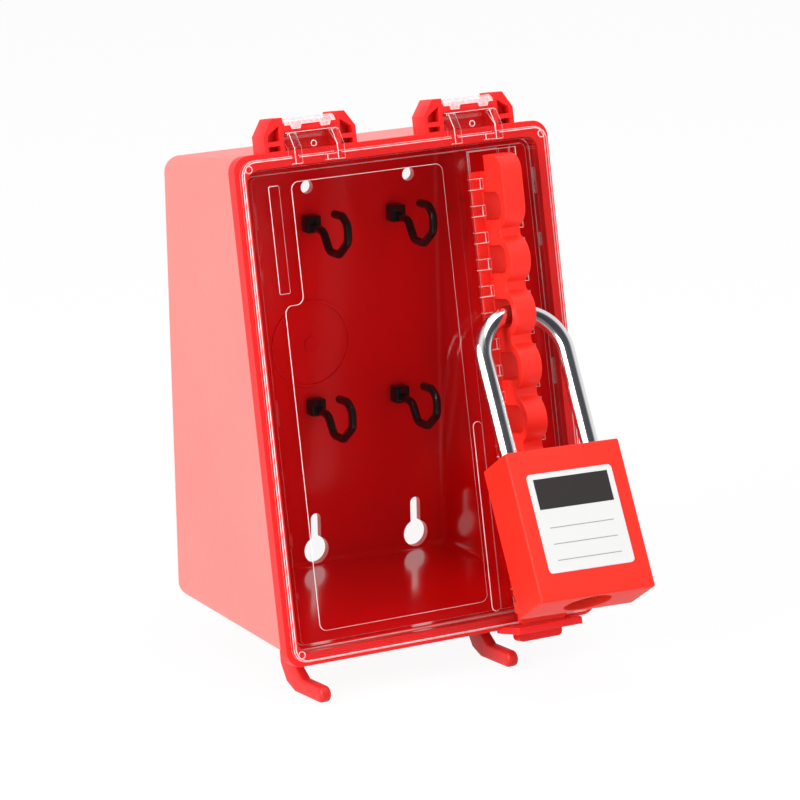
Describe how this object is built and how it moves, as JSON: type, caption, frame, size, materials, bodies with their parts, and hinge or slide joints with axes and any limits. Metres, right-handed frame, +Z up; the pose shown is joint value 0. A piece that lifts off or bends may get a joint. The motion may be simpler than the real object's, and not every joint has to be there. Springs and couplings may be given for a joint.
{
  "type": "group lockout box",
  "caption": "Red plastic group lockout box for the wall, with a clear hinged cover, a sliding lock rail, key hooks and a fitted safety padlock.",
  "frame": {"origin": "centre of the upper row of three screw holes, on the back face", "axes": "+X to the right as seen from the front, -Y out of the front, +Z up; the wall is the plane Y = 0"},
  "size_m": [0.107, 0.13, 0.1704],
  "materials": {
    "red_plastic": "moulded, semi-gloss",
    "clear_plastic": "clear polycarbonate",
    "lock_red": "moulded, satin",
    "black_plastic": "moulded",
    "steel": "polished",
    "brass": "satin",
    "label": "vinyl"
  },
  "bodies": {
    "box": {"tub": "red_plastic", "key_hook_upper_middle": "black_plastic", "key_hook_upper_right": "black_plastic", "key_hook_lower_middle": "black_plastic", "key_hook_lower_right": "black_plastic", "under_hook_left": "red_plastic", "under_hook_right": "red_plastic"},
    "cover": {"cover": "clear_plastic"},
    "rail": {"lock_rail": "red_plastic"},
    "shackle": {"lock_shackle": "steel"},
    "lock": {"lock_case": "lock_red", "lock_cylinder": "brass", "driver_pins": "brass", "pin_springs": "steel", "locking_balls": "steel", "shackle_spring": "steel", "retaining_pin": "steel", "front_label": "label"},
    "plug": {"key_plug": "brass", "plug_pins": "brass", "actuator": "steel"}
  },
  "joints": [
    {"name": "cover_hinge", "type": "hinge", "parent": "box", "child": "cover", "pos_m": [0, -0.05487, 0.02988], "axis": [-1, 0, 0], "range_deg": [0, 165]},
    {"name": "rail_slide", "type": "slide", "parent": "cover", "child": "rail", "axis": [0, 0.1736, 0.9848], "range_m": [-0.0022, 0.0035]},
    {"name": "padlock_swing", "type": "hinge", "parent": "rail", "child": "shackle", "pos_m": [0.032, -0.07398, -0.03072], "axis": [-0.996, 0.0889, -0.0018], "range_deg": [0, 75]},
    {"name": "case_slide", "type": "slide", "parent": "shackle", "child": "lock", "axis": [-0.044, -0.51, -0.859], "range_m": [0, 0.011]},
    {"name": "key_turn", "type": "hinge", "parent": "lock", "child": "plug", "pos_m": [0.02802, -0.12004, -0.10712], "axis": [-0.044, -0.51, -0.859], "range_deg": [0, 90]}
  ]
}
